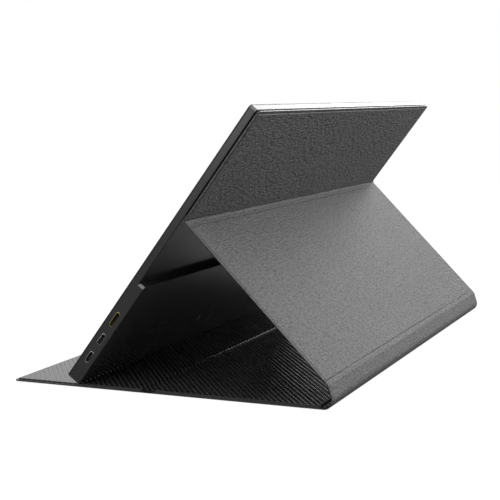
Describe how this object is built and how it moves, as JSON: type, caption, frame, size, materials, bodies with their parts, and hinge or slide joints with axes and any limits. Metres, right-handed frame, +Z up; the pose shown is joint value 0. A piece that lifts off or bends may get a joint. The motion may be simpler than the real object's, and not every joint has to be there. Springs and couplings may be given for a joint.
{
  "type": "portable monitor with folding cover",
  "caption": "Thin flat screen with a thicker chin, held leaning by a folding leather cover whose hinged panels form a leg and a ribbed base.",
  "frame": {"origin": "centre of the bounding box on the table, under the standing monitor", "axes": "+X along the width towards the video sockets, +Y backwards (the screen faces -Y), +Z up"},
  "size_m": [0.3568, 0.2262, 0.1819],
  "materials": {
    "housing": "dark anodised, satin",
    "bezel": "matte black",
    "screen": "black, switched off, satin",
    "films": "frosted white",
    "guide": "clear acrylic",
    "tray": "plain",
    "led": "phosphor yellow",
    "foam": "black foam tape",
    "circuit": "green solder mask",
    "chip": "black",
    "tin": "tinned",
    "screw": "black-nickel",
    "connector": "nickel plated",
    "gold": "gold plated",
    "tongue": "black",
    "speaker": "black",
    "wire": "red insulation",
    "ribbon": "amber film",
    "button": "satin dark grey",
    "magnet": "nickel plated",
    "adhesive": "black",
    "leather": "pebbled black",
    "leather_soft": "fine grained black",
    "stiffener": "glass-fibre board",
    "lining": "ribbed black, slightly glossy"
  },
  "bodies": {
    "monitor": {"back_shell": "housing", "screen_bezel": "bezel", "lcd_cell": "screen", "diffuser_films": "films", "light_guide": "guide", "reflector_sheet": "films", "panel_tray": "tray", "led_bar": "led", "panel_foam": "foam", "driver_board": "circuit", "main_board": "circuit", "scaler_chip": "chip", "shield_can": "tin", "board_screws": "screw", "usb_c_lower": "connector", "usb_c_upper": "connector", "mini_hdmi": "gold", "usb_c_lower_tongue": "tongue", "usb_c_upper_tongue": "tongue", "mini_hdmi_tongue": "tongue", "speaker_right": "speaker", "speaker_left": "speaker", "speaker_wires": "wire", "display_ribbon": "ribbon", "button_ribbon": "ribbon", "button_board": "circuit", "tact_switches": "tin", "rocker_bracket": "tongue", "jack_board": "circuit", "audio_jack": "tongue", "bezel_magnets": "magnet", "cover_tape": "adhesive", "upper_skin": "leather", "upper_board": "stiffener", "upper_lining": "lining", "crease_leather": "leather"},
    "leg": {"leg_skin": "leather_soft", "leg_board": "stiffener", "leg_lining": "lining", "knee_leather": "leather_soft"},
    "spine": {"spine_skin": "leather_soft", "spine_strip": "stiffener", "spine_lining": "lining", "roll_leather": "leather_soft"},
    "base_rear": {"base_rear_skin": "leather", "base_rear_board": "stiffener", "base_rear_lining": "lining", "groove_leather": "lining"},
    "base_front": {"base_front_skin": "leather", "base_front_board": "stiffener", "base_front_lining": "lining", "base_magnets": "magnet"},
    "power_button": {"power_button": "button"},
    "menu_rocker": {"menu_rocker": "button"}
  },
  "joints": [
    {"name": "crease_fold", "type": "hinge", "parent": "monitor", "child": "leg", "pos_m": [0, 0.01988, 0.11104], "axis": [1, 0, 0], "range_deg": [-75, 95], "deforming": ["crease_leather"]},
    {"name": "leg_spine_fold", "type": "hinge", "parent": "leg", "child": "spine", "pos_m": [0, 0.10794, 0.01419], "axis": [1, 0, 0], "range_deg": [-47, 37], "deforming": ["knee_leather"]},
    {"name": "spine_base_fold", "type": "hinge", "parent": "spine", "child": "base_rear", "pos_m": [0, 0.1069, 0.0064], "axis": [1, 0, 0], "range_deg": [0, 118], "deforming": ["roll_leather"]},
    {"name": "base_front_fold", "type": "hinge", "parent": "base_rear", "child": "base_front", "pos_m": [0, -0.0136, 0.0007], "axis": [1, 0, 0], "range_deg": [0, 160], "deforming": ["groove_leather"]},
    {"name": "power_press", "type": "slide", "parent": "monitor", "child": "power_button", "axis": [1, 0, 0], "range_m": [0, 0.0003], "stiffness_N_per_m": 400},
    {"name": "menu_rock", "type": "hinge", "parent": "monitor", "child": "menu_rocker", "pos_m": [-0.1761, -0.04103, 0.03878], "axis": [0, -0.7944, 0.6074], "range_deg": [-3, 3], "stiffness_Nm_per_rad": 0.05}
  ],
  "couplings": [
    {"joint": "leg_spine_fold", "follows": "crease_fold", "ratio": -0.49}
  ]
}
